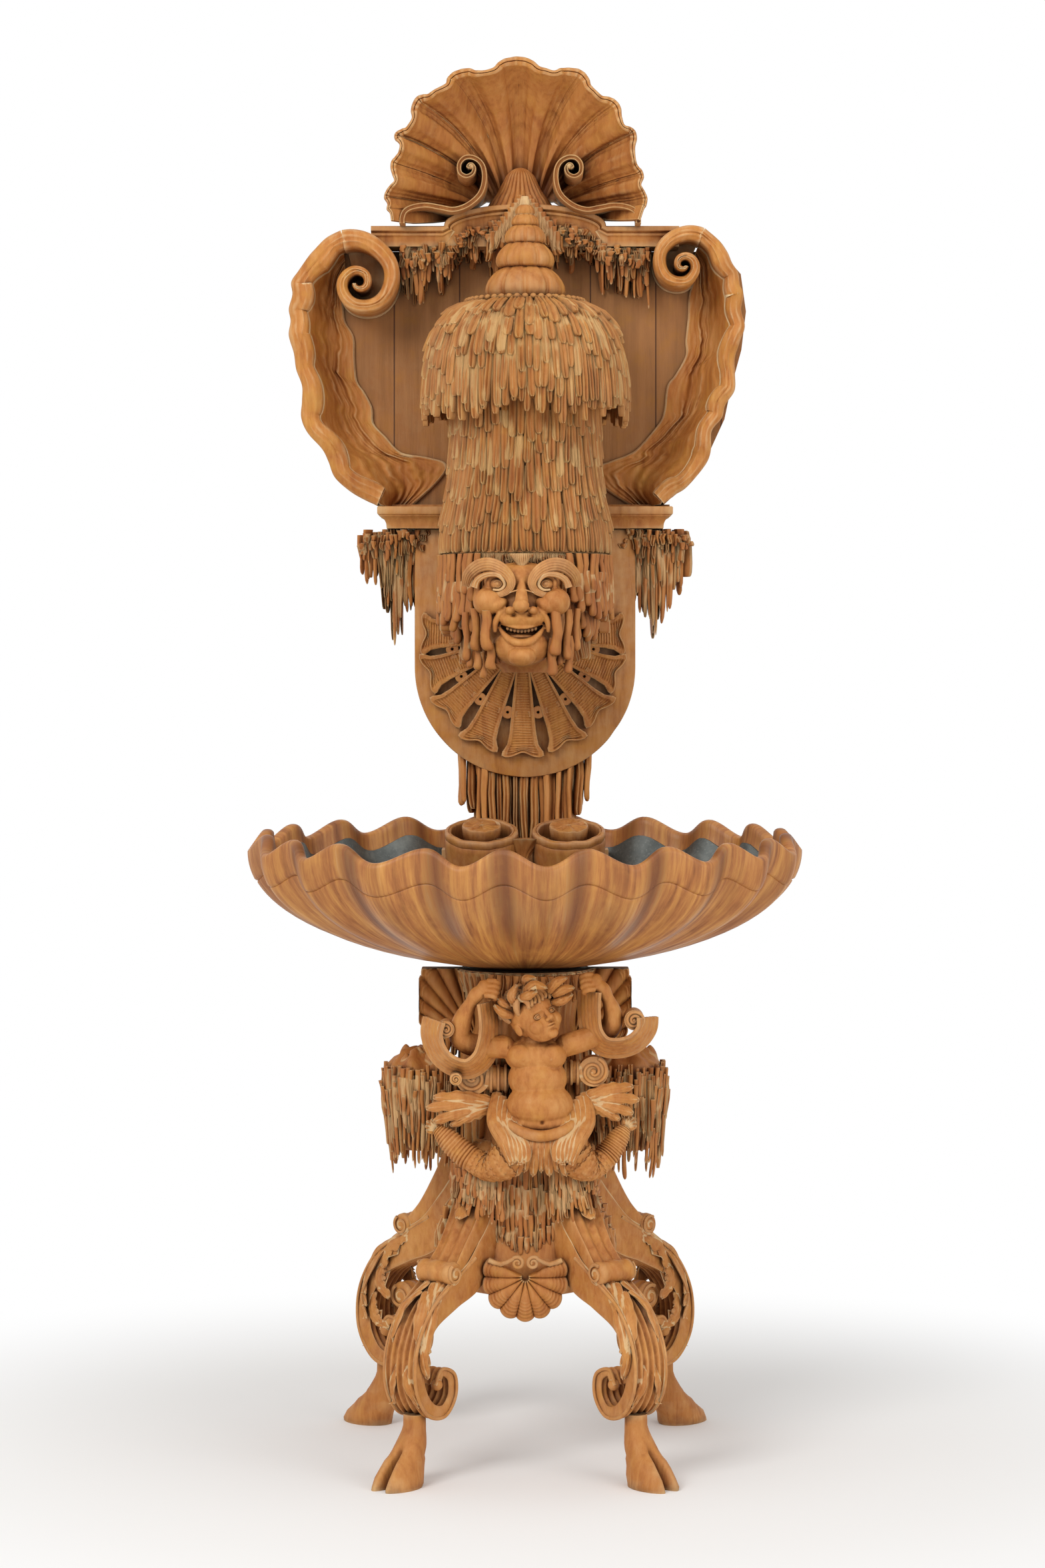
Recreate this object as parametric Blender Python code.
"""Carved and painted wooden fountain with a shell basin, standing on four hoofed legs.

The basin is lined with lead. Behind it rise a dripping column, a plaque with a laughing mask that spouts,
a thatched cistern with a lift-off finial, a shell niche and a shell crest.
Metres, +Z up, +X to the viewer's right, the front towards -Y, the floor at z = 0.
"""

import math
import random

import bmesh
import bpy
from mathutils import Matrix, Vector

# Clearances
GAP = 0.0003

# Planes that run through the whole piece, as distances along Y
REAR_Y = 0.400
SPINE_THICKNESS = 0.0247
BOARD_BACK = REAR_Y - SPINE_THICKNESS - GAP
BOARD_FRONT = 0.345

# Basin and its lead lining
BASIN_HALF_WIDTH = 0.463
BASIN_HALF_DEPTH = REAR_Y
BASIN_FOOT_Z = 0.815
BASIN_RIM_Z = 1.025
BASIN_RIM_WAVE = 0.0132
BASIN_RIM_TILT = 0.013
BASIN_LOBES = 20
BASIN_PHASE = math.radians(4.0)
BASIN_LOBE_DEPTH = 0.014
BASIN_WALL = 0.020
BASIN_FOOT_RADIUS = 0.115
LINER_DROP = 0.028
LINER_WALL = 0.003
LINER_PLAY = 0.0006

# Waste outlet in the middle of the basin
WASTE_TUBE_RADIUS = 0.016
WASTE_BORE = 0.011
WASTE_FLANGE_RADIUS = 0.030
WASTE_FLANGE = 0.004
WASTE_TAIL = 0.050
STOPPER_PLAY = 0.0005
STOPPER_LENGTH = 0.016
STOPPER_CAP_RADIUS = 0.020
STOPPER_CAP = 0.007
STOPPER_RING = 0.009

# Ledge at the back of the basin, with its two rolls
LEDGE_HALF_WIDTH = 0.146
LEDGE_FRONT_Y = 0.110
LEDGE_BACK_Y = 0.372
LEDGE_STEP_Z = 0.962
LEDGE_TOP_Z = 1.000
LEDGE_STEP_BACK = 0.262
LEDGE_PLAY = 0.0017
ROLL_SPREAD = 0.075
ROLL_RADIUS = 0.0635
ROLL_CORE_RADIUS = 0.0335
ROLL_Y = 0.186
ROLL_HEIGHT = 0.082
ROLL_CORE_RISE = 0.010

# Pedestal
SEAT_TOP_Z = BASIN_FOOT_Z - GAP
SEAT_FOOT_Z = 0.695
CORE_HALF = 0.100
CORE_FOOT_Z = 0.285
CORE_FLARE_Z = 0.430
CORE_FLARE = 0.132
CORE_CHAMFER = 0.030
DRAIN_RADIUS = 0.0175
WING_REACH = 0.178
WING_THICKNESS = 0.050
BAND_Y = -0.158
BAND_WIDTH = 0.046
APRON_TOP_Z = 0.500
APRON_TIP_Z = 0.345
FRONT_SHELL_RADIUS = 0.068
FRONT_SHELL_Z = 0.340

# Legs, drawn in their own upright plane and set out by azimuth from the front
LEG_HALF_WIDTH = 0.031
LEG_FRONT_AZIMUTH = 38.7
LEG_REAR_AZIMUTH = 133.4
LEG_FRONT_REACH = 0.328
LEG_REAR_REACH = 0.378
LEG_DRAWN_REACH = 0.328
LEG_REAR_RISE = 1.08
ANKLE_Z = 0.100
HOOF_HALF_LENGTH = 0.048
HOOF_HALF_WIDTH = 0.035
CLEFT_RADIUS = 0.007
KNOB_RADIUS = 0.020

# Cistern bell and its tank, turned about one upright axis
BELL_Y = 0.185
BELL_FOOT_Z = 1.513
TANK_HEIGHT = 0.385
TANK_HEADROOM = 0.014
CAP_CROWN = 0.040
BELL_TOP_Z = BELL_FOOT_Z + TANK_HEIGHT + TANK_HEADROOM + CAP_CROWN
CAP_RADIUS = 0.180
CAP_HEM_Z = 1.757
TRUNK_WAIST = 0.132
TRUNK_FOOT = 0.150
TANK_RADIUS = 0.1120
TANK_WALL = 0.002
TANK_PLAY = 0.0008
BELL_STEPS = 32
ROW_STEP = 0.0055
FILL_RADIUS = 0.050

# Finial lid
LID_SKIRT_RADIUS = 0.048
LID_SKIRT = 0.018
LID_TIERS = ((0.070, 0.060), (0.0505, 0.043), (0.0355, 0.033), (0.0165, 0.032))
LID_LOBES = 8

# Mask, plaque and water way
BLOCK_RADIUS = 0.143
BLOCK_TOP_Z = BELL_FOOT_Z - GAP
BLOCK_FOOT_Z = 1.310
BLOCK_FACE_Y = 0.075
PLAQUE_FRONT = 0.285
PLAQUE_THICKNESS = 0.040
PLAQUE_HALF_WIDTH = 0.194
PLAQUE_CENTRE_Z = 1.320
FAN_RIBS = 9
FAN_THICKNESS = 0.018
FACE_HALF_WIDTH = 0.084
FACE_CENTRE_Z = 1.411
FACE_HALF_HEIGHT = 0.092
MOUTH_Z = 1.363
PIPE_RADIUS = 0.008
PIPE_BORE = 0.006
SPOUT_Z = 1.364
SPOUT_TIP_Y = 0.018

# Shelf, niche, cornice and crest
SHELF_HALF_WIDTH = 0.2585
SHELF_FOOT_Z = 1.563
SHELF_TOP_Z = 1.601
SHELF_FRONT = 0.250
NICHE_TOP_Z = 2.057
NICHE_RIM_Y = 0.228
NICHE_LOBES = 8
NICHE_LOBE_DEPTH = 0.009
SCROLL_X = 0.283
SCROLL_Z = 2.013
SCROLL_RADIUS = 0.053
CORNICE_HALF_WIDTH = 0.270
CORNICE_TOP_Z = 2.093
CORNICE_FRONT = 0.262
ARCH_HALF_WIDTH = 0.142
ARCH_TOP_Z = 2.133
CREST_HINGE_Z = 2.140
CREST_RADIUS = 0.250
CREST_LOBES = 11
CREST_RIM_Y = 0.215
CREST_WALL = 0.016
CREST_FLUTE = 0.008
BOSS_HALF_WIDTH = 0.061
BOSS_TOP_Z = 2.213

# Column
COLUMN_HALF_WIDTH = 0.091
COLUMN_BOARD_FRONT = PLAQUE_FRONT + PLAQUE_THICKNESS + GAP
SPINE_HALF_WIDTH = 0.050
SPINE_FOOT_Z = 1.062

# Paint and metal colours, linear
TERRACOTTA = (0.50, 0.20, 0.06)
TERRACOTTA_DARK = (0.36, 0.13, 0.04)
BASIN_BROWN = (0.30, 0.10, 0.035)
BARE_WOOD = (0.42, 0.27, 0.14)
LEAD_GREY = (0.11, 0.115, 0.105)
BRASS = (0.60, 0.42, 0.16)


def clear_scene():
    for old in list(bpy.data.objects):
        bpy.data.objects.remove(old)


def finish(name, colour, roughness=0.62, metallic=0.0):
    """One Principled material for one piece."""
    material = bpy.data.materials.new(name + "_finish")
    material.use_nodes = True
    shader = material.node_tree.nodes["Principled BSDF"]
    shader.inputs["Base Color"].default_value = (*colour, 1.0)
    shader.inputs["Roughness"].default_value = roughness
    shader.inputs["Metallic"].default_value = metallic
    return material


def make(name, bm, colour=TERRACOTTA, roughness=0.62, metallic=0.0, angle=38.0):
    """Turn a bmesh into a named object with its own material."""
    bmesh.ops.recalc_face_normals(bm, faces=bm.faces[:])
    mesh = bpy.data.meshes.new(name)
    bm.to_mesh(mesh)
    bm.free()
    mesh.materials.append(finish(name, colour, roughness, metallic))
    mesh.shade_smooth()
    mesh.set_sharp_from_angle(angle=math.radians(angle))
    piece = bpy.data.objects.new(name, mesh)
    bpy.context.scene.collection.objects.link(piece)
    return piece


def combine(target, tool, operation):
    """Boolean with another object, applied at once."""
    modifier = target.modifiers.new(operation.lower(), "BOOLEAN")
    modifier.operation = operation
    modifier.solver = "EXACT"
    modifier.object = tool
    bpy.context.view_layer.update()
    graph = bpy.context.evaluated_depsgraph_get()
    result = bpy.data.meshes.new_from_object(target.evaluated_get(graph))
    old = target.data
    target.modifiers.clear()
    target.data = result
    result.name = target.name
    bpy.data.meshes.remove(old)
    bpy.data.objects.remove(tool)
    clean(target)
    return target


def clean(piece):
    """Merge touching points, drop faces without area and join faces that lie in one plane."""
    bm = bmesh.new()
    bm.from_mesh(piece.data)
    bmesh.ops.remove_doubles(bm, verts=bm.verts[:], dist=0.00002)
    bmesh.ops.dissolve_degenerate(bm, edges=bm.edges[:], dist=0.00002)
    bmesh.ops.dissolve_limit(bm, angle_limit=math.radians(0.2), verts=bm.verts[:], edges=bm.edges[:])
    bmesh.ops.triangulate(bm, faces=bm.faces[:])
    bm.to_mesh(piece.data)
    bm.free()


def islands(bm):
    """Lists of vertices, one for each connected body."""
    left = set(bm.verts)
    found = []
    while left:
        stack = [left.pop()]
        group = set(stack)
        while stack:
            for edge in stack.pop().link_edges:
                for vert in edge.verts:
                    if vert not in group:
                        group.add(vert)
                        stack.append(vert)
        left -= group
        found.append(group)
    return found


def extent(group):
    """Diagonal of the box round a group of vertices."""
    spans = [max(v.co[i] for v in group) - min(v.co[i] for v in group) for i in range(3)]
    return math.sqrt(sum(span * span for span in spans))


def trim_offcuts(piece):
    """Keep only the largest body after a cut."""
    bm = bmesh.new()
    bm.from_mesh(piece.data)
    groups = sorted(islands(bm), key=extent, reverse=True)
    for group in groups[1:]:
        bmesh.ops.delete(bm, geom=list(group), context="VERTS")
    bm.to_mesh(piece.data)
    bm.free()


def grown_copy(piece, gap):
    """A cutter with the shape of a piece, larger by the gap all round."""
    bm = bmesh.new()
    bm.from_mesh(piece.data)
    bm.normal_update()
    moves = [(v, v.normal * gap * min(v.calc_shell_factor(), 2.5)) for v in bm.verts]
    for vert, move in moves:
        vert.co += move
    mesh = bpy.data.meshes.new("cutter")
    bm.to_mesh(mesh)
    bm.free()
    cutter = bpy.data.objects.new("cutter", mesh)
    cutter.matrix_world = piece.matrix_world
    bpy.context.scene.collection.objects.link(cutter)
    return cutter


def seat(piece, *supports, gap=GAP):
    """Cut a piece back to stand one clearance off the pieces that carry it."""
    for support in supports:
        combine(piece, grown_copy(support, gap), "DIFFERENCE")
        trim_offcuts(piece)
    return piece


def cut_box(piece, low, high):
    """Take a box out of a piece."""
    return combine(piece, box("cutter", low, high), "DIFFERENCE")


def box(name, low, high, **look):
    bm = bmesh.new()
    low, high = Vector(low), Vector(high)
    bmesh.ops.create_cube(bm, size=1.0)
    bmesh.ops.scale(bm, vec=high - low, verts=bm.verts[:])
    bmesh.ops.translate(bm, vec=(low + high) / 2, verts=bm.verts[:])
    return make(name, bm, **look)


def cylinder(name, start, end, radius, sides=24, **look):
    """A rod between two points."""
    start, end = Vector(start), Vector(end)
    along = end - start
    bm = bmesh.new()
    bmesh.ops.create_cone(bm, cap_ends=True, segments=sides, radius1=radius, radius2=radius,
                          depth=along.length)
    bmesh.ops.rotate(bm, verts=bm.verts[:], matrix=Vector((0, 0, 1)).rotation_difference(along).to_matrix())
    bmesh.ops.translate(bm, vec=(start + end) / 2, verts=bm.verts[:])
    return make(name, bm, **look)


def ball(name, centre, radii, sides=14, rings=9, tilt=0.0, **look):
    """An ellipsoid, which may lean in the XZ plane."""
    bm = bmesh.new()
    bmesh.ops.create_uvsphere(bm, u_segments=sides, v_segments=rings, radius=1.0)
    bmesh.ops.scale(bm, vec=radii, verts=bm.verts[:])
    bmesh.ops.rotate(bm, verts=bm.verts[:], matrix=Matrix.Rotation(math.radians(tilt), 3, "Y"))
    bmesh.ops.translate(bm, vec=centre, verts=bm.verts[:])
    return make(name, bm, **look)


def loft(rings, closed=False):
    """Skin a row of rings by extruding one face from ring to ring."""
    bm = bmesh.new()
    first = [bm.verts.new(point) for point in rings[0]]
    face = bm.faces.new(first)
    for ring in rings[1:]:
        face = bmesh.ops.extrude_discrete_faces(bm, faces=[face])["faces"][0]
        for loop, point in zip(face.loops, ring):
            loop.vert.co = point
    if closed:
        bmesh.ops.delete(bm, geom=[face], context="FACES_ONLY")
        bmesh.ops.remove_doubles(bm, verts=bm.verts[:], dist=0.000001)
    else:
        bm.faces.new(reversed(first))
    bmesh.ops.recalc_face_normals(bm, faces=bm.faces[:])
    return bm


def smooth_path(points, steps):
    """A Catmull-Rom curve through the given points, of any dimension."""
    points = [tuple(p) for p in points]
    ends = [points[0]] + points + [points[-1]]
    path = []
    for i in range(1, len(ends) - 2):
        a, b, c, d = ends[i - 1:i + 3]
        for k in range(steps):
            t = k / steps
            path.append(tuple(0.5 * (2 * q + (r - p) * t + (2 * p - 5 * q + 4 * r - s) * t * t
                                     + (3 * q - p - 3 * r + s) * t ** 3)
                              for p, q, r, s in zip(a, b, c, d)))
    path.append(points[-1])
    return path


def oval(centre, across, along, half_a, half_b, sides=12, power=1.0):
    """A ring round a centre; a power under 1 squares it off."""
    ring = []
    for k in range(sides):
        turn = math.tau * (k + 0.5) / sides
        ca, sa = math.cos(turn), math.sin(turn)
        ring.append(Vector(centre) + across * half_a * math.copysign(abs(ca) ** power, ca)
                    + along * half_b * math.copysign(abs(sa) ** power, sa))
    return ring


def stacked(name, levels, sides=14, power=1.0, **look):
    """Horizontal ovals on each other; a level is x, y, z, half width, half depth."""
    x_axis, y_axis = Vector((1, 0, 0)), Vector((0, 1, 0))
    rings = [oval((x, y, z), x_axis, y_axis, a, b, sides, power) for x, y, z, a, b in levels]
    return make(name, loft(rings), **look)


def limb(name, points, steps=4, sides=10, **look):
    """A round limb along points given as x, y, z, radius."""
    path = smooth_path(points, steps)
    rings = []
    for i, (x, y, z, radius) in enumerate(path):
        before, after = Vector(path[max(i - 1, 0)][:3]), Vector(path[min(i + 1, len(path) - 1)][:3])
        along = (after - before).normalized()
        side = along.cross(Vector((0.0, 1.0, 0.0)))
        if side.length < 0.2:
            side = along.cross(Vector((1.0, 0.0, 0.0)))
        side.normalize()
        rings.append(oval((x, y, z), side, side.cross(along), radius, radius, sides))
    return make(name, loft(rings), **look)


def ribbon(name, points, width, origin=(0, 0, 0), radial=(1, 0, 0), steps=3, power=0.55, sides=8, **look):
    """A strap that curls in one upright plane, along points given as reach, height, half thickness.

    The plane holds the radial direction and +Z; the strap's width lies across it.
    """
    radial, up = Vector(radial).normalized(), Vector((0, 0, 1))
    across = radial.cross(up)
    spread = math.sqrt(2.0) if sides == 4 else 1.0
    path = smooth_path(points, steps)
    rings = []
    for i, (reach, height, half) in enumerate(path):
        r0, z0, _ = path[max(i - 1, 0)]
        r1, z1, _ = path[min(i + 1, len(path) - 1)]
        along = (radial * (r1 - r0) + up * (z1 - z0)).normalized()
        centre = Vector(origin) + radial * reach + up * height
        rings.append(oval(centre, across, along.cross(across), width / 2 * spread, half * spread,
                          sides, power))
    return make(name, loft(rings), **look)


def spiral(centre, start_radius, end_radius, start_turn, turns, half, per_turn=12):
    """Points of a volute for a ribbon, winding inwards."""
    count = max(4, int(abs(turns) * per_turn))
    points = []
    for k in range(count + 1):
        t = k / count
        radius = start_radius + (end_radius - start_radius) * t
        turn = math.tau * (start_turn + turns * t)
        points.append((centre[0] + radius * math.cos(turn), centre[1] + radius * math.sin(turn), half))
    return points


def turned(name, profile, steps, centre=(0.0, 0.0), shape=None, closed=False, **look):
    """Turn a profile of radius and height about an upright axis; shape may rework each point."""
    rings = []
    rows = list(profile) + ([profile[0]] if closed else [])
    for row, (radius, z) in enumerate(rows):
        ring = []
        for k in range(steps):
            turn = math.tau * k / steps
            r, h = (radius, z) if shape is None else shape(turn, radius, z, row % len(profile), k)
            ring.append((centre[0] + r * math.sin(turn), centre[1] - r * math.cos(turn), h))
        rings.append(ring)
    return make(name, loft(rings, closed), **look)


def plate(name, outline, y_front, y_back, **look):
    """A flat board in the XZ plane, cut to an outline of x, z points."""
    bm = bmesh.new()
    face = bm.faces.new([bm.verts.new((x, y_front, z)) for x, z in outline])
    made = bmesh.ops.extrude_face_region(bm, geom=[face])["geom"]
    verts = [v for v in made if isinstance(v, bmesh.types.BMVert)]
    bmesh.ops.translate(bm, vec=(0, y_back - y_front, 0), verts=verts)
    return make(name, bm, **look)


def mirrored(piece, name):
    """The left-hand twin of a right-hand piece, or the other way round."""
    bm = bmesh.new()
    bm.from_mesh(piece.data)
    bmesh.ops.scale(bm, vec=(-1, 1, 1), verts=bm.verts[:])
    bmesh.ops.reverse_faces(bm, faces=bm.faces[:])
    colour = piece.data.materials[0].node_tree.nodes["Principled BSDF"].inputs["Base Color"]
    return make(name, bm, colour=tuple(colour.default_value)[:3])


def curtain(name, place, drips, seed, top, hem, depth, valley=0.35, **look):
    """Dripping stone or ice: a skirt of tapering drips along a line.

    place(u) gives x, y and the outward direction for u from 0 to 1. top(u) and hem(u) are heights.
    """
    chance = random.Random(seed)
    columns = []
    for k in range(drips):
        middle = (k + 0.5) / drips
        length = (top(middle) - hem(middle)) * chance.uniform(0.62, 1.0)
        tip = top(middle) - length
        columns.append((k / drips, top(middle) - length * (1 - valley), 0.55))
        columns.append(((k + 0.26) / drips, tip, 1.0))
        columns.append(((k + 0.66) / drips, tip + length * 0.05, 0.92))
    columns.append((1.0, columns[0][1], 0.55))
    rings = []
    for u, low, thick in columns:
        x, y, nx, ny = place(u)
        high = top(u)
        reach = depth * thick
        rings.append([(x, y, high), (x + nx * reach, y + ny * reach, high),
                      (x + nx * reach, y + ny * reach, low), (x, y, low + 0.006)])
    return make(name, loft(rings), **look)


# Basin

BASIN_STEPS = 4 * BASIN_LOBES
FLOOR_ANGLE = 6.0
LINER_TOP_ANGLE = math.degrees(math.acos(LINER_DROP / (BASIN_RIM_Z - BASIN_FOOT_Z - BASIN_WALL)))
INNER_ANGLES = (72.0, 54.0, 34.0, FLOOR_ANGLE)


def basin_wave(turn):
    """The lobes round the basin: 1 on a bulge, -1 in the crease between two."""
    return math.cos(BASIN_LOBES * (turn - BASIN_PHASE))


def basin_turns():
    """Angles round the bowl; with four to a lobe, they fall on each bulge and each crease."""
    return [BASIN_PHASE + math.tau * k / BASIN_STEPS for k in range(BASIN_STEPS)]


def basin_height(angle, inset):
    """Height on the basin's quarter-ellipse section, from 0 at the foot to 90 at the rim."""
    return BASIN_RIM_Z - (BASIN_RIM_Z - BASIN_FOOT_Z - inset) * math.cos(math.radians(angle))


def basin_ring(angle, inset, lift=0.0):
    """One ring of the lobed bowl, drawn in from the outside by the inset; the rim rises to the back."""
    rise = math.sin(math.radians(angle))
    half_width = BASIN_HALF_WIDTH / math.cos(BASIN_PHASE)
    half_depth = BASIN_HALF_DEPTH / math.cos(BASIN_PHASE)
    ring = []
    for turn in basin_turns():
        wave = basin_wave(turn)
        swell = BASIN_LOBE_DEPTH * (wave - 1) / 2 * rise ** 2 - inset
        dip = BASIN_RIM_WAVE * wave + BASIN_RIM_TILT * math.cos(turn)
        ring.append((math.sin(turn) * (half_width + swell) * rise,
                     -math.cos(turn) * (half_depth + swell) * rise,
                     basin_height(angle, inset) - dip * rise ** 4 + lift))
    return ring


def make_basin():
    foot = [(BASIN_FOOT_RADIUS * math.sin(turn), -BASIN_FOOT_RADIUS * math.cos(turn), BASIN_FOOT_Z)
            for turn in basin_turns()]
    lip = BASIN_WALL / 3
    rings = [foot] + [basin_ring(a, 0.0) for a in (16.0, 30.0, 45.0, 60.0, 75.0, 90.0)]
    rings += [basin_ring(90.0, lip, lip * 0.8), basin_ring(90.0, 2 * lip, lip * 0.8)]
    rings += [basin_ring(a, BASIN_WALL) for a in (90.0, LINER_TOP_ANGLE) + INNER_ANGLES]
    bowl = make("basin_bowl", loft(rings), colour=BASIN_BROWN, roughness=0.5)

    outer, inner = BASIN_WALL + LINER_PLAY, BASIN_WALL + LINER_PLAY + LINER_WALL
    angles = (LINER_TOP_ANGLE,) + INNER_ANGLES
    rings = [basin_ring(a, outer) for a in reversed(angles)] + [basin_ring(a, inner) for a in angles]
    liner = make("basin_liner", loft(rings), colour=LEAD_GREY, roughness=0.55, metallic=0.6)
    for piece in (bowl, liner):
        hole = cylinder("cutter", (0, 0, BASIN_FOOT_Z - 0.01), (0, 0, BASIN_FOOT_Z + 0.06),
                        WASTE_TUBE_RADIUS + 2 * GAP, 16)
        combine(piece, hole, "DIFFERENCE")
    seat(liner, bowl)
    make_waste(basin_height(FLOOR_ANGLE, inner) + GAP)
    make_ledge()
    return bowl, liner


def make_waste(floor):
    """A flanged brass tube through the basin's floor, and the plug that closes it."""
    tail = BASIN_FOOT_Z - WASTE_TAIL
    top = floor + WASTE_FLANGE
    turned("basin_waste", [(WASTE_BORE, tail), (WASTE_TUBE_RADIUS, tail), (WASTE_TUBE_RADIUS, floor),
                           (WASTE_FLANGE_RADIUS, floor), (WASTE_FLANGE_RADIUS, top),
                           (WASTE_BORE, top)], 16, closed=True, colour=BRASS, roughness=0.3, metallic=1.0)
    plug = WASTE_BORE - STOPPER_PLAY
    seat_z = top + GAP
    turned("basin_stopper", [(0.004, seat_z - STOPPER_LENGTH), (plug - 0.001, seat_z - STOPPER_LENGTH),
                             (plug, seat_z), (STOPPER_CAP_RADIUS, seat_z),
                             (STOPPER_CAP_RADIUS, seat_z + STOPPER_CAP * 0.6), (0.006, seat_z + STOPPER_CAP),
                             (0.0045, seat_z + STOPPER_CAP + STOPPER_RING),
                             (STOPPER_RING, seat_z + STOPPER_CAP + 1.6 * STOPPER_RING),
                             (0.005, seat_z + STOPPER_CAP + 2.4 * STOPPER_RING)], 16,
           colour=BRASS, roughness=0.3, metallic=1.0)


def make_ledge():
    """The wooden ledge at the back of the basin, two rolled scrolls on it and the fan between them."""
    step = box("basin_ledge", (-LEDGE_HALF_WIDTH, LEDGE_FRONT_Y, BASIN_FOOT_Z - 0.02),
               (LEDGE_HALF_WIDTH, LEDGE_BACK_Y, LEDGE_TOP_Z), colour=BASIN_BROWN)
    cut_box(step, (-1, LEDGE_FRONT_Y - 1, LEDGE_STEP_Z), (1, LEDGE_STEP_BACK, LEDGE_TOP_Z + 1))
    inset = BASIN_WALL + LINER_PLAY + LINER_WALL + LEDGE_PLAY
    rings = [basin_ring(90.0, inset, LEDGE_TOP_Z - BASIN_FOOT_Z)]
    rings += [basin_ring(a, inset) for a in (LINER_TOP_ANGLE,) + INNER_ANGLES]
    combine(step, make("cutter", loft(rings)), "INTERSECT")
    height = ROLL_HEIGHT + 0.03
    groove = 0.022
    profile = [(0.006, 0), (ROLL_RADIUS * 0.94, 0), (ROLL_RADIUS, height * 0.6), (ROLL_RADIUS, height),
               (ROLL_RADIUS - 0.009, height), (ROLL_RADIUS - 0.009, height - groove),
               (ROLL_CORE_RADIUS, height - groove), (ROLL_CORE_RADIUS, height + ROLL_CORE_RISE),
               (0.006, height + ROLL_CORE_RISE)]
    rolls = []
    for side, label in ((-1, "left"), (1, "right")):
        roll = turned("basin_scroll_" + label, profile, 16, colour=TERRACOTTA)
        lean = Matrix.Rotation(math.radians(18.0), 4, "X")
        place = Matrix.Translation((side * ROLL_SPREAD, ROLL_Y, LEDGE_STEP_Z - 0.03))
        roll.data.transform(place @ lean)
        rolls.append(seat(roll, step))
    fan = stacked("basin_fan", [(0, 0.150, LEDGE_STEP_Z + GAP, 0.040, 0.030),
                                (0, 0.150, LEDGE_STEP_Z + 0.03, 0.034, 0.026),
                                (0, 0.145, LEDGE_STEP_Z + 0.065, 0.046, 0.022)], 16)
    seat(fan, *rolls)


# Pedestal

def octagon(half, z, chamfer=CORE_CHAMFER):
    """A square ring with its corners cut off."""
    a, b = half, half - chamfer
    return [(a, -b, z), (a, b, z), (b, a, z), (-b, a, z), (-a, b, z), (-a, -b, z), (-b, -a, z), (b, -a, z)]


def make_core():
    levels = ((CORE_FLARE * 0.92, CORE_FOOT_Z), (CORE_FLARE, CORE_FOOT_Z + 0.02), (0.120, 0.345),
              (0.107, 0.390), (CORE_HALF, CORE_FLARE_Z), (CORE_HALF, SEAT_FOOT_Z - GAP))
    core = make("pedestal_core", loft([octagon(half, z) for half, z in levels]), angle=20.0)
    drain = cylinder("cutter", (0, 0, CORE_FOOT_Z - 0.1), (0, 0, SEAT_FOOT_Z + 0.1), DRAIN_RADIUS)
    return combine(core, drain, "DIFFERENCE")


def make_seat(core):
    """The striated collar that carries the basin, and the shell wing on each side of it."""
    height = SEAT_TOP_Z - SEAT_FOOT_Z

    def striate(turn, radius, z, row, k):
        return (radius * (1.0 if row in (0, 5) or k % 2 else 0.955), z)

    collar = turned("pedestal_seat", [(DRAIN_RADIUS, SEAT_FOOT_Z), (0.094, SEAT_FOOT_Z),
                                      (0.086, SEAT_FOOT_Z + height * 0.35),
                                      (0.096, SEAT_FOOT_Z + height * 0.75), (0.112, SEAT_TOP_Z),
                                      (DRAIN_RADIUS, SEAT_TOP_Z)], 32, shape=striate, closed=True)
    hinge_x, hinge_z = 0.080, SEAT_FOOT_Z - 0.005
    outline = [(hinge_x, hinge_z)]
    for k in range(19):
        turn = math.radians(6.0 + 62.0 * k / 18)
        reach = 0.085 + 0.100 * math.sin(turn) ** 1.5 + 0.004 * math.cos(k * math.pi * 2 / 3)
        outline.append((min(hinge_x + reach * math.cos(turn), WING_REACH),
                        min(hinge_z + reach * math.sin(turn), SEAT_TOP_Z)))
    half = WING_THICKNESS / 2
    right = plate("seat_shell_right", outline, -half, half)
    seat(right, collar, core)
    left = mirrored(right, "seat_shell_left")
    return collar, left, right


def make_leg(label, azimuth, reach, rise, core):
    """One scroll leg: a strap down from the core that ends in a knob, a C-scroll below it and a hoof."""
    turn = math.radians(azimuth)
    radial = Vector((math.sin(turn), -math.cos(turn), 0))
    stretch = reach / LEG_DRAWN_REACH
    bend = [(0.085, 0.520, 0.022), (0.118, 0.470, 0.020), (0.145, 0.415, 0.017), (0.182, 0.365, 0.014),
            (0.218, 0.330, 0.012)]
    strap = ribbon("leg_" + label, [(r * stretch, z * rise, h) for r, z, h in bend],
                   2 * LEG_HALF_WIDTH, radial=radial, steps=2, power=0.4)
    scroll = [(0.110, 0.400, 0.026), (0.165, 0.330, 0.030), (0.225, 0.298, 0.026), (0.278, 0.262, 0.019),
              (0.307, 0.213, 0.015), (0.308, 0.160, 0.013), (0.284, 0.122, 0.012), (0.250, 0.114, 0.010),
              (0.228, 0.136, 0.009), (0.230, 0.166, 0.008), (0.254, 0.178, 0.007), (0.266, 0.158, 0.007)]
    bow = ribbon("cutter", [(r * stretch, z * rise, h) for r, z, h in scroll], 1.9 * LEG_HALF_WIDTH,
                 radial=radial, steps=2, power=0.4)
    across = radial.cross(Vector((0, 0, 1)))
    knob_centre = radial * 0.226 * stretch + Vector((0, 0, 0.333 * rise))
    knob = cylinder("cutter", knob_centre - across * (LEG_HALF_WIDTH + 0.004),
                    knob_centre + across * (LEG_HALF_WIDTH + 0.004), KNOB_RADIUS, 12)
    combine(strap, bow, "UNION")
    combine(strap, knob, "UNION")
    seat(strap, core)
    make_hoof(label, radial, across, reach, rise, strap)
    return strap


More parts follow.
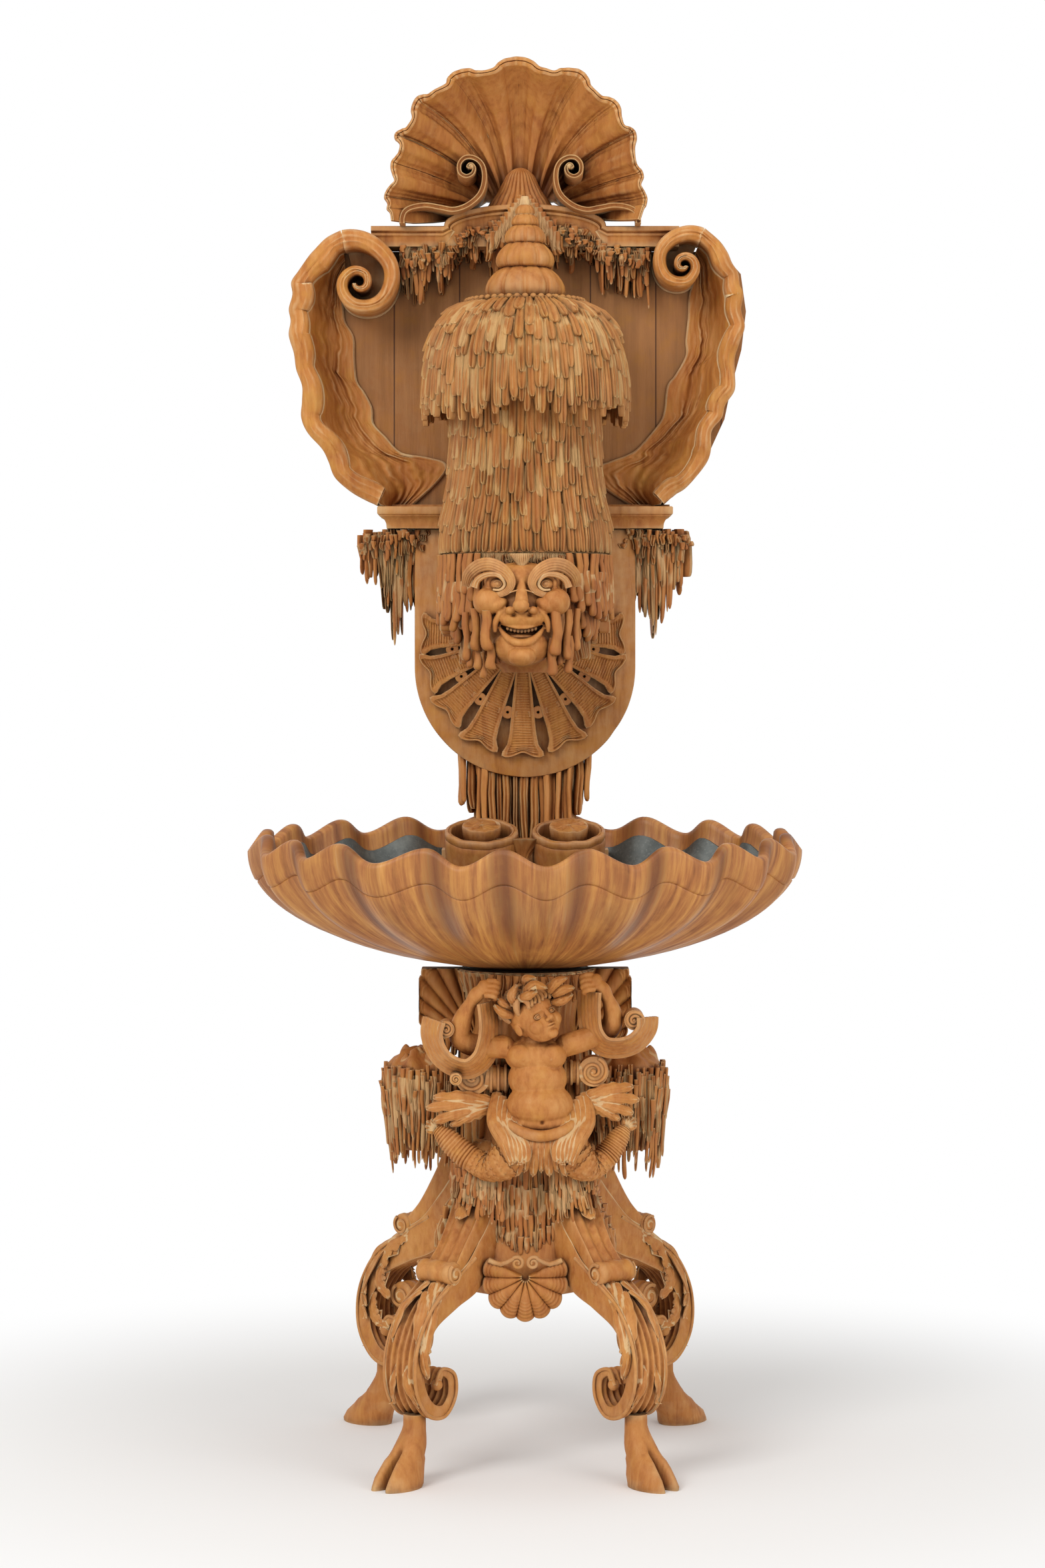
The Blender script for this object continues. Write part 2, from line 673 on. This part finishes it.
def make_hoof(label, radial, across, reach, rise, leg):
    """An ankle and a cloven hoof with a flat sole, its toe pointing outwards."""
    ankle_reach = reach * 0.286 / LEG_DRAWN_REACH
    levels = ((ANKLE_Z * rise + 0.012, ankle_reach, 0.018, 0.018), (0.085, ankle_reach + 0.002, 0.017, 0.017),
              (0.062, ankle_reach + 0.012, 0.024, 0.023), (0.042, ankle_reach + 0.024, 0.036, 0.030),
              (0.018, reach - 0.006, HOOF_HALF_LENGTH - 0.002, HOOF_HALF_WIDTH - 0.001),
              (0.0, reach, HOOF_HALF_LENGTH, HOOF_HALF_WIDTH))
    rings = [oval(radial * centre + Vector((0, 0, z)), radial, across, a, b, 12)
             for z, centre, a, b in levels]
    hoof = make("hoof_" + label, loft(rings))
    toe = radial * (reach + HOOF_HALF_LENGTH)
    crown = toe - radial * 0.018 + Vector((0, 0, 0.075))
    cleft = cylinder("cutter", toe + Vector((0, 0, -0.02)), crown, CLEFT_RADIUS, 8)
    combine(hoof, cleft, "DIFFERENCE")
    return seat(hoof, leg)


def make_legs(core):
    legs = {}
    for side, label in ((-1, "left"), (1, "right")):
        for end, azimuth, reach, rise in (("front_", LEG_FRONT_AZIMUTH, LEG_FRONT_REACH, 1.0),
                                          ("rear_", LEG_REAR_AZIMUTH, LEG_REAR_REACH, LEG_REAR_RISE)):
            legs[end + label] = make_leg(end + label, side * azimuth, reach, rise, core)
    return legs


def make_side_drips(core, collar):
    """A rocky shelf on each side of the core, hung with drips."""
    def rock(turn, radius, z, row, k):
        if row in (4, 5):
            z += (0.045 if k % 2 else -0.020) * (1 if row == 4 else 0.6)
        if row in (1, 2):
            z += 0.010 * math.sin(5 * turn)
        return radius * (1.06 if k % 2 else 0.97), z

    profile = [(0.010, 0.682), (0.040, 0.684), (0.062, 0.655), (0.070, 0.600), (0.073, 0.505), (0.055, 0.520),
               (0.010, 0.560)]
    right = turned("side_drips_right", profile, 22, centre=(0.172, 0.0), shape=rock, colour=TERRACOTTA_DARK)
    seat(right, core, collar)
    mirrored(right, "side_drips_left")
    return right


def make_apron(core, legs):
    """Drips that hang over the core's front, and the small shell pendant below them."""
    def place(u):
        turn = math.radians(-62 + 124 * u)
        return 0.118 * math.sin(turn), -0.105 * math.cos(turn) + 0.012, math.sin(turn), -math.cos(turn)

    def hem(u):
        return APRON_TIP_Z + 0.075 * abs(2 * u - 1)

    apron = curtain("apron_drips", place, 12, 5, lambda u: APRON_TOP_Z, hem, 0.030, colour=TERRACOTTA_DARK)
    seat(apron, core, legs["front_left"], legs["front_right"])

    ribs = 9
    outline = []
    for k in range(4 * ribs + 1):
        turn = math.radians(-118 + 236 * k / (4 * ribs))
        reach = FRONT_SHELL_RADIUS + 0.004 * math.cos(math.tau * (k / 4 - 0.5))
        outline.append((reach * math.sin(turn), FRONT_SHELL_Z - 0.022 - reach * math.cos(turn)))
    shell = plate("front_shell", outline, -0.158, -0.112)
    seat(shell, core, legs["front_left"], legs["front_right"], apron)
    return apron, shell


def make_putto(core, collar):
    """The young triton that holds up the basin, carved as torso, head, arms and tails."""
    y = -0.148
    torso = stacked("putto_torso", [(0.026, y, 0.538, 0.040, 0.030), (0.026, y, 0.552, 0.060, 0.043),
                                    (0.026, y, 0.580, 0.063, 0.047), (0.022, y, 0.612, 0.054, 0.043),
                                    (0.014, y, 0.650, 0.054, 0.042), (0.008, y, 0.680, 0.058, 0.041),
                                    (0.009, y, 0.700, 0.048, 0.034), (0.011, y, 0.709, 0.024, 0.024),
                                    (0.012, y - 0.004, 0.722, 0.019, 0.019)], 16)
    cut_box(torso, (-1, -CORE_HALF - GAP, 0), (1, 1, 1))
    head = ball("cutter", (0.013, -0.166, 0.752), (0.037, 0.040, 0.046), 14, 10, tilt=8.0)
    head.name = head.data.name = "putto_head"
    combine(head, ball("cutter", (0.030, -0.196, 0.738), (0.014, 0.013, 0.012), 8, 6), "UNION")
    combine(head, ball("cutter", (0.006, -0.160, 0.774), (0.046, 0.044, 0.022), 12, 7), "UNION")
    seat(head, torso, collar)
    arm_points = {"left": [(-0.034, -0.150, 0.692, 0.021), (-0.080, -0.156, 0.700, 0.019),
                           (-0.112, -0.160, 0.712, 0.017), (-0.098, -0.168, 0.748, 0.015),
                           (-0.076, -0.172, 0.776, 0.012), (-0.070, -0.174, 0.796, 0.013)],
                  "right": [(0.050, -0.150, 0.690, 0.021), (0.098, -0.156, 0.704, 0.019),
                            (0.138, -0.160, 0.722, 0.017), (0.130, -0.168, 0.756, 0.015),
                            (0.118, -0.172, 0.784, 0.012), (0.112, -0.174, 0.802, 0.013)]}
    bands = {"left": [(-0.150, 0.762, 0.004), (-0.157, 0.728, 0.004), (-0.142, 0.690, 0.004),
                      (-0.108, 0.672, 0.004), (-0.076, 0.674, 0.004), (-0.056, 0.690, 0.004)],
             "right": [(0.060, 0.706, 0.004), (0.090, 0.678, 0.004), (0.128, 0.684, 0.004),
                       (0.162, 0.706, 0.004), (0.184, 0.738, 0.004), (0.178, 0.766, 0.005),
                       (0.158, 0.764, 0.005), (0.160, 0.748, 0.005)]}
    seated_bands = {}
    for label in ("left", "right"):
        arm = limb("putto_arm_" + label, arm_points[label], 2, 8)
        seat(arm, torso, head, collar)
        band = ribbon("arm_band_" + label, bands[label], BAND_WIDTH, origin=(0, BAND_Y, 0), steps=2,
                      sides=4, power=1.0)
        seated_bands[label] = seat(band, arm, torso)
    make_tails(core, torso, seated_bands)
    return torso


def make_tails(core, torso, bands):
    """Scaly tails that curl away under the figure, and the rolls behind its waist."""
    y = -0.150
    left = limb("fish_tail_left", [(-0.008, y, 0.548, 0.022), (-0.026, y - 0.008, 0.512, 0.030),
                                   (-0.052, y, 0.492, 0.024), (-0.086, y + 0.018, 0.500, 0.017),
                                   (-0.120, y + 0.030, 0.524, 0.013),
                                   (-0.150, y + 0.034, 0.530, 0.011)], 2, 10)
    right = limb("fish_tail_right", [(0.060, y, 0.545, 0.022), (0.080, y - 0.008, 0.508, 0.030),
                                     (0.104, y, 0.492, 0.022), (0.122, y + 0.020, 0.506, 0.016),
                                     (0.140, y + 0.032, 0.526, 0.013),
                                     (0.158, y + 0.036, 0.532, 0.011)], 2, 10)
    seat(left, torso, core)
    seat(right, torso, core, left)
    for x, z, radius, label in ((-0.086, 0.645, 0.031, "left"), (0.112, 0.655, 0.027, "right")):
        nose = BAND_Y + BAND_WIDTH / 2 + GAP
        roll = cylinder("waist_roll_" + label, (x * 0.9, -CORE_HALF - GAP, z), (x, nose, z - 0.003),
                        radius, 18)
        cut_box(roll, (-1, -CORE_HALF - GAP, 0), (1, 1, 1))
        seat(roll, torso, bands[label])


# Column, plaque and mask

def u_outline(half_width, top, centre_z, steps=20):
    """Straight sides with a round foot."""
    outline = [(half_width, top)]
    for k in range(steps + 1):
        turn = math.pi * k / steps
        outline.append((half_width * math.cos(turn), centre_z - half_width * math.sin(turn)))
    return outline + [(-half_width, top)]


def make_column(bowl, liner):
    """The dripping column on the basin's step; its board runs up behind the plaque to the shelf."""
    board = box("icicle_column", (-COLUMN_HALF_WIDTH, COLUMN_BOARD_FRONT, LEDGE_TOP_Z + GAP),
                (COLUMN_HALF_WIDTH, BOARD_BACK, SHELF_FOOT_Z - GAP))
    foot = PLAQUE_CENTRE_Z - PLAQUE_HALF_WIDTH

    def place(u):
        return -COLUMN_HALF_WIDTH + 2 * COLUMN_HALF_WIDTH * u, COLUMN_BOARD_FRONT + 0.004, 0, -1

    front = curtain("cutter", place, 7, 11, lambda u: foot - 0.004,
                    lambda u: LEDGE_TOP_Z + 0.012, 0.045, valley=0.10)
    combine(board, front, "UNION")
    for side in (-1, 1):
        def flank(u, side=side):
            return side * (COLUMN_HALF_WIDTH - 0.004), COLUMN_BOARD_FRONT + 0.004 + 0.036 * u, side, 0

        drips = curtain("cutter", flank, 3, 20 + side, lambda u: foot + 0.046, lambda u: foot - 0.068, 0.028)
        combine(board, drips, "UNION")
    let_in_bell(board)
    return seat(board, bowl, liner)


def let_in_bell(board):
    """Clear a board's upper end for the round foot of the cistern."""
    well = cylinder("cutter", (0, BELL_Y, BELL_FOOT_Z - GAP), (0, BELL_Y, SHELF_TOP_Z),
                    TRUNK_FOOT + 0.0035, BELL_STEPS)
    return combine(board, well, "DIFFERENCE")


def make_plaque(board):
    """A U-shaped board with a fan of ribs on it."""
    outline = u_outline(PLAQUE_HALF_WIDTH, SHELF_FOOT_Z - GAP, PLAQUE_CENTRE_Z)
    plaque = plate("plaque_board", outline, PLAQUE_FRONT, PLAQUE_FRONT + PLAQUE_THICKNESS)
    seat(let_in_bell(plaque), board)
    hub_z = 1.372
    outline = []
    for k in range(FAN_RIBS):
        middle = -92.0 + 184.0 * k / (FAN_RIBS - 1)
        for offset, reach in ((-9.2, 0.135), (-7.6, 0.168), (-8.2, 0.206), (-3.2, 0.199), (3.2, 0.199),
                              (8.2, 0.206), (7.6, 0.168), (9.2, 0.135)):
            turn = math.radians(middle + offset)
            long = reach * (0.86 + 0.155 * math.cos(math.radians(middle)) ** 2)
            outline.append((long * math.sin(turn), hub_z - long * math.cos(turn)))
    fan = plate("plaque_fan", outline, PLAQUE_FRONT - FAN_THICKNESS, PLAQUE_FRONT - GAP, colour=TERRACOTTA)
    return plaque, fan


def make_mask(fan):
    """The block under the cistern with the laughing face on it and drips for hair."""
    block = turned("mask_block", [(0.010, BLOCK_FOOT_Z), (0.070, BLOCK_FOOT_Z), (0.098, BLOCK_FOOT_Z + 0.045),
                                  (0.128, BLOCK_FOOT_Z + 0.110), (BLOCK_RADIUS, BLOCK_FOOT_Z + 0.150),
                                  (BLOCK_RADIUS, BLOCK_TOP_Z), (0.010, BLOCK_TOP_Z)], 32, centre=(0, BELL_Y))
    cut_box(block, (-1, PLAQUE_FRONT - FAN_THICKNESS - GAP, 0), (1, 1, 3))
    cut_box(block, (-1, -1, 0), (1, BLOCK_FACE_Y, 3))
    bore = PIPE_RADIUS + GAP
    shaft = cylinder("cutter", (0, BELL_Y, SPOUT_Z - PIPE_RADIUS - 0.004), (0, BELL_Y, BLOCK_TOP_Z + 0.1),
                     bore, 16)
    combine(block, shaft, "DIFFERENCE")
    combine(block, cylinder("cutter", (0, 0, SPOUT_Z), (0, BELL_Y, SPOUT_Z), bore, 16), "DIFFERENCE")

    z = FACE_CENTRE_Z
    back = BLOCK_FACE_Y - GAP
    face = ball("mask_face", (0, back, z), (FACE_HALF_WIDTH, 0.078, FACE_HALF_HEIGHT), 16, 11)
    for centre, radii in (((0, -0.006, z + 0.004), (0.013, 0.022, 0.026)),
                          ((0, -0.016, z - 0.014), (0.017, 0.014, 0.011)),
                          ((0.043, 0.012, z - 0.002), (0.027, 0.024, 0.024)),
                          ((-0.043, 0.012, z - 0.002), (0.027, 0.024, 0.024)),
                          ((0, 0.004, z - 0.082), (0.024, 0.024, 0.020)),
                          ((0, 0.002, z - 0.040), (0.034, 0.020, 0.009)),
                          ((0.034, 0.010, z + 0.052), (0.036, 0.020, 0.013)),
                          ((-0.034, 0.010, z + 0.052), (0.036, 0.020, 0.013)),
                          ((0, 0.000, z - 0.060), (0.028, 0.018, 0.008))):
        combine(face, ball("cutter", centre, radii, 8, 6), "UNION")
    cut_box(face, (-1, back, 0), (1, 1, 3))
    combine(face, ball("cutter", (0, -0.010, MOUTH_Z - 0.001), (0.026, 0.045, 0.010), 12, 7), "DIFFERENCE")
    combine(face, cylinder("cutter", (0, -0.1, SPOUT_Z), (0, BELL_Y, SPOUT_Z), bore, 16), "DIFFERENCE")
    trim_offcuts(face)
    for side, label in ((1, "right"), (-1, "left")):
        def place(u, side=side):
            turn = side * math.radians(34 + 76 * (u if side > 0 else 1 - u))
            radius, sine, cosine = BLOCK_RADIUS - 0.002, math.sin(turn), math.cos(turn)
            return radius * sine, BELL_Y - radius * cosine, sine, -cosine

        def hem(u, side=side):
            along = u if side > 0 else 1 - u
            return BLOCK_FOOT_Z + 0.010 + 0.080 * along

        hair = curtain("mask_drips_" + label, place, 6, 31, lambda u: BLOCK_TOP_Z, hem, 0.016, valley=0.45)
        seat(hair, block, face, fan)
    return block, face


def make_water_way(block):
    """Tank in the cistern, the pipe down from it and the spout in the mouth."""
    foot = BLOCK_TOP_Z + GAP
    top = foot + TANK_HEIGHT
    inner = TANK_RADIUS - TANK_WALL
    hole = PIPE_RADIUS + GAP
    turned("cistern_tank", [(hole, foot), (TANK_RADIUS, foot), (TANK_RADIUS, top), (inner, top),
                            (inner, foot + TANK_WALL), (hole, foot + TANK_WALL)], BELL_STEPS,
           centre=(0, BELL_Y), closed=True, colour=LEAD_GREY, roughness=0.5, metallic=0.7)
    pipe_foot = SPOUT_Z - PIPE_RADIUS - 0.004 + GAP
    pipe_top = foot + TANK_WALL + 0.012
    pipe = turned("supply_pipe", [(PIPE_BORE, pipe_foot), (PIPE_RADIUS, pipe_foot), (PIPE_RADIUS, pipe_top),
                                  (PIPE_BORE, pipe_top)], 16, centre=(0, BELL_Y), closed=True,
                  colour=LEAD_GREY, roughness=0.45, metallic=0.7)
    combine(pipe, cylinder("cutter", (0, 0, SPOUT_Z), (0, BELL_Y, SPOUT_Z), PIPE_BORE, 12), "DIFFERENCE")
    spout = turned("spout_pipe", [(PIPE_BORE, 0), (PIPE_RADIUS, 0), (PIPE_RADIUS, BELL_Y - SPOUT_TIP_Y),
                                  (PIPE_BORE, BELL_Y - SPOUT_TIP_Y)], 16, closed=True,
                   colour=LEAD_GREY, roughness=0.45, metallic=0.7)
    spout.data.transform(Matrix.Translation((0, BELL_Y, SPOUT_Z)) @ Matrix.Rotation(math.radians(90), 4, "X"))
    cut_box(spout, (-1, BELL_Y - PIPE_RADIUS - GAP, 0), (1, 1, 3))


# Cistern, niche and crest

def make_bell():
    """The hollow thatched cistern: a mushroom cap with a ragged hem over a waisted trunk."""
    hem = CAP_HEM_Z
    rise = BELL_TOP_Z - hem
    inner = TANK_RADIUS + TANK_PLAY
    profile = [(FILL_RADIUS, BELL_TOP_Z), (0.080, BELL_TOP_Z), (0.125, hem + rise * 0.94)]
    ragged = {}
    for radius, z in ((0.150, hem + rise * 0.83), (0.171, hem + rise * 0.63), (CAP_RADIUS, hem + rise * 0.22)):
        ragged[len(profile)] = ragged[len(profile) + 1] = len(ragged) // 2
        profile += [(radius, z), (radius - ROW_STEP, z - 0.003)]
    hem_rows = (len(profile), len(profile) + 1)
    profile += [(CAP_RADIUS, hem), (0.163, hem + 0.008), (TRUNK_WAIST + 0.001, hem + 0.022)]
    for radius, z in ((TRUNK_WAIST + 0.004, 1.716), (TRUNK_WAIST + 0.007, 1.664), (TRUNK_WAIST + 0.012, 1.618),
                      (TRUNK_FOOT + 0.001, 1.562)):
        ragged[len(profile)] = ragged[len(profile) + 1] = len(ragged) // 2
        profile += [(radius, z), (radius - ROW_STEP, z - 0.003)]
    profile += [(TRUNK_FOOT - 0.003, BELL_FOOT_Z), (inner, BELL_FOOT_Z),
                (inner, BELL_TOP_Z - CAP_CROWN), (FILL_RADIUS, BELL_TOP_Z - 0.65 * CAP_CROWN)]

    def thatch(turn, radius, z, row, k):
        if row in hem_rows:
            z += (0.016 if k % 2 else -0.014) + 0.003 * ((k * 7) % 5 - 2)
        elif row in ragged:
            radius += 0.002 if k % 2 else -0.002
            z += 0.007 if (k + ragged[row]) % 2 else -0.007
        return radius, z

    bell = turned("cistern_bell", profile, BELL_STEPS, centre=(0, BELL_Y), shape=thatch, closed=True)
    return cut_box(bell, (-1, BOARD_FRONT - GAP, 0), (1, 1, 3))


def make_lid():
    """A turban-shell finial in lobed tiers, with a skirt that drops into the filling hole."""
    profile = [(0.006, BELL_TOP_Z - LID_SKIRT), (LID_SKIRT_RADIUS, BELL_TOP_Z - LID_SKIRT),
               (LID_SKIRT_RADIUS, BELL_TOP_Z + GAP)]
    z = BELL_TOP_Z + GAP
    for radius, height in LID_TIERS:
        profile += [(radius * 0.93, z + height * 0.02), (radius, z + height * 0.32),
                    (radius * 0.97, z + height * 0.68), (radius * 0.72, z + height * 0.98)]
        z += height
    profile.append((0.003, z + 0.014))

    def lobed(turn, radius, z, row, k):
        if row < 3 or row >= len(profile) - 4:
            return radius, z
        return radius * (1.0 - 0.07 * (1 - abs(math.sin(turn * LID_LOBES / 2)))), z

    return turned("finial_lid", profile, 24, centre=(0, BELL_Y), shape=lobed)


def niche_outer(steps):
    """The niche's right-hand outline from the top scroll down to the shelf, with its lobes."""
    points = [(0.318, 2.084), (0.362, 2.060), (0.394, 2.016), (0.403, 1.950), (0.398, 1.883),
              (0.384, 1.811), (0.368, 1.760), (0.342, 1.711), (0.312, 1.656), (0.276, 1.622),
              (0.236, SHELF_TOP_Z + 0.002)]
    path = smooth_path(points, steps)
    count = len(path) - 1
    shaped = []
    for i, (x, z) in enumerate(path):
        swell = NICHE_LOBE_DEPTH * (abs(math.sin(math.pi * NICHE_LOBES * i / count)) - 0.6)
        away = Vector((x - 0.12, z - 1.86)).normalized()
        shaped.append((x + away.x * swell, max(z + away.y * swell, SHELF_TOP_Z + GAP)))
    return shaped


def make_niche(bell):
    """Back panel, and on each side a lobed trough that ends in a volute."""
    outer = niche_outer(2)
    edge = [(x - 0.014, min(max(z, SHELF_TOP_Z + GAP), NICHE_TOP_Z)) for x, z in niche_outer(1)[1:]]
    outline = [(0.0, SHELF_TOP_Z + GAP)] + list(reversed(edge)) + [(edge[0][0] - 0.02, NICHE_TOP_Z)]
    outline = outline[1:] + [(-x, z) for x, z in reversed(outline[1:])]
    panel = plate("niche_panel", outline, BOARD_FRONT, BOARD_BACK, angle=20.0)

    inner = smooth_path([(0.290, 1.985), (0.312, 1.950), (0.298, 1.890), (0.292, 1.833), (0.262, 1.770),
                         (0.246, 1.735), (0.205, 1.704), (0.150, 1.690), (0.118, 1.670)], 4)
    rings = []
    back = BOARD_FRONT - GAP
    for i, (ox, oz) in enumerate(outer):
        t = i / (len(outer) - 1)
        ix, iz = inner[min(int(round(t * (len(inner) - 1))), len(inner) - 1)]
        rim_y = NICHE_RIM_Y + 0.030 * t
        wave = 0.006 * math.sin(math.pi * 2 * NICHE_LOBES * t)
        out = Vector((ox - ix, 0, oz - iz))
        rings.append([(ox, rim_y + wave, oz),
                      (ox - out.x * 0.05, back, max(oz - out.z * 0.05, SHELF_TOP_Z + GAP)), (ix, back, iz),
                      (ix + out.x * 0.04, back - 0.010, iz + out.z * 0.04),
                      (ix + out.x * 0.50, back - 0.026, iz + out.z * 0.50),
                      (ox - out.x * 0.16, rim_y + 0.022 + wave, oz - out.z * 0.16)])
    frame = make("niche_frame_right", loft(rings), angle=60.0)
    seat(frame, bell)
    volute = spiral((SCROLL_X, SCROLL_Z), SCROLL_RADIUS, 0.012, 0.17, 1.45, 0.0052, 14)
    lead_in = [(0.352, 2.044, 0.0052)]
    scroll = ribbon("niche_scroll_right", lead_in + volute, back - NICHE_RIM_Y + 0.004,
                    origin=(0, (back + NICHE_RIM_Y - 0.004) / 2, 0), steps=1, sides=4, power=1.0)
    cut_box(scroll, (-1, back, 0), (1, 1, 3))
    seat(frame, scroll)
    mirrored(frame, "niche_frame_left")
    return panel, frame, scroll


def make_cornice(panel, scroll):
    """The cornice with its raised arch, the drips under it and the spine behind."""
    outline = [(CORNICE_HALF_WIDTH - 0.006, NICHE_TOP_Z + GAP), (CORNICE_HALF_WIDTH, NICHE_TOP_Z + 0.014),
               (CORNICE_HALF_WIDTH, CORNICE_TOP_Z), (ARCH_HALF_WIDTH, CORNICE_TOP_Z)]
    for k in range(1, 12):
        turn = math.pi * k / 12
        outline.append((ARCH_HALF_WIDTH * math.cos(turn),
                        CORNICE_TOP_Z + (ARCH_TOP_Z - CORNICE_TOP_Z) * math.sin(turn)))
    outline += [(-x, z) for x, z in reversed(outline[:4])]
    cornice = plate("cornice", outline, CORNICE_FRONT, BOARD_BACK, angle=20.0)
    seat(scroll, cornice)
    mirrored(scroll, "niche_scroll_left")

    def place(u):
        return -0.222 + 0.444 * u, BOARD_FRONT - GAP, 0, -1

    def hem(u):
        side = abs(2 * u - 1)
        return NICHE_TOP_Z - 0.055 - 0.070 * side ** 3 - 0.014 * math.cos(5 * math.pi * (u - 0.5))

    fringe = curtain("cornice_fringe", place, 20, 47, lambda u: NICHE_TOP_Z, hem, 0.036,
                     colour=TERRACOTTA_DARK)
    box("back_spine", (-SPINE_HALF_WIDTH, BOARD_BACK + GAP, SPINE_FOOT_Z),
        (SPINE_HALF_WIDTH, REAR_Y, CORNICE_TOP_Z), colour=BARE_WOOD, roughness=0.8)
    return cornice, fringe


def make_crest(cornice):
    """The scallop shell on top: a hollow fan whose rim leans forward, with a fluted boss at its hinge."""
    columns = CREST_LOBES * 3
    rings = []
    rows = (0.10, 0.40, 0.70, 0.90, 1.0)
    for k in range(columns + 1):
        turn = math.radians(-102 + 204 * k / columns)
        wave = math.cos(math.tau * CREST_LOBES * k / columns)
        reach = CREST_RADIUS - 0.020 * (turn / (math.pi / 2)) ** 2
        front, back = [], []
        for share in rows:
            r = reach * share + 0.007 * (-wave) * share ** 2
            y = BOARD_FRONT - CREST_WALL - (BOARD_FRONT - CREST_WALL - CREST_RIM_Y) * share ** 2.2
            y -= CREST_FLUTE * wave * share
            front.append((r * math.sin(turn), y, CREST_HINGE_Z + r * math.cos(turn)))
            rb, wall = r - 0.004 * share ** 4, CREST_WALL * (1 - 0.35 * share)
            back.append((rb * math.sin(turn), y + wall, CREST_HINGE_Z + rb * math.cos(turn)))
        rings.append(front + list(reversed(back)))
    shell = make("crest_shell", loft(rings), angle=50.0)
    cut_box(shell, (-1, -1, 0), (1, 1, CORNICE_TOP_Z + GAP))
    seat(shell, cornice)

    def flute(turn, radius, z, row, k):
        return radius * (1.0 if k % 2 else 0.93), z

    foot = ARCH_TOP_Z - 0.012
    half = BOSS_HALF_WIDTH
    boss = turned("crest_boss", [(0.010, foot), (half, foot), (half * 0.97, foot + 0.024),
                                 (half * 0.72, foot + 0.056), (half * 0.34, foot + 0.082),
                                 (0.006, BOSS_TOP_Z)], 20, centre=(0, 0.318), shape=flute)
    for side in (-1, 1):
        volute = spiral((side * 0.085, 2.198), 0.030, 0.008, 0.25, -1.2 * side, 0.005, 9)
        sweep = [(side * 0.028, 2.150, 0.006), (side * 0.034, 2.176, 0.006), (side * 0.052, 2.214, 0.005)]
        curl = ribbon("cutter", sweep + volute, 0.050, origin=(0, 0.296, 0), steps=1, sides=4, power=1.0)
        combine(boss, curl, "UNION")
    seat(boss, cornice, shell)
    return shell, boss


def make_shelf(bell, board):
    """The moulded shelf under the niche, cut round the cistern, with drips below its ends."""
    overhang = 0.016
    levels = [(0, SHELF_FOOT_Z), (0.004, SHELF_FOOT_Z + 0.012), (0.010, SHELF_FOOT_Z + 0.018),
              (overhang, SHELF_FOOT_Z + 0.026), (overhang, SHELF_TOP_Z)]
    rings = []
    for out, z in levels:
        half = SHELF_HALF_WIDTH - overhang + out
        front = SHELF_FRONT + overhang - out
        rings.append([(-half, front, z), (half, front, z), (half, BOARD_BACK, z), (-half, BOARD_BACK, z)])
    shelf = make("shelf_moulding", loft(rings), angle=20.0)
    seat(shelf, bell)

    def place(u):
        return 0.160 + 0.112 * u, 0.352 - 0.012 * math.sin(math.pi * u), 0, -1

    def hem(u):
        return SHELF_FOOT_Z - 0.125 - 0.095 * math.sin(math.pi * (0.15 + 0.75 * u)) ** 2

    right = curtain("bracket_drips_right", place, 7, 53, lambda u: SHELF_FOOT_Z - GAP, hem, 0.070,
                    colour=TERRACOTTA_DARK)
    seat(right, board)
    mirrored(right, "bracket_drips_left")
    return shelf


def main():
    clear_scene()
    bowl, liner = make_basin()
    core = make_core()
    collar, _, _ = make_seat(core)
    legs = make_legs(core)
    make_side_drips(core, collar)
    make_putto(core, collar)
    make_apron(core, legs)
    column = make_column(bowl, liner)
    plaque, fan = make_plaque(column)
    block, _ = make_mask(fan)
    make_water_way(block)
    bell = make_bell()
    make_lid()
    make_shelf(bell, plaque)
    panel, _, scroll = make_niche(bell)
    cornice, _ = make_cornice(panel, scroll)
    make_crest(cornice)


main()
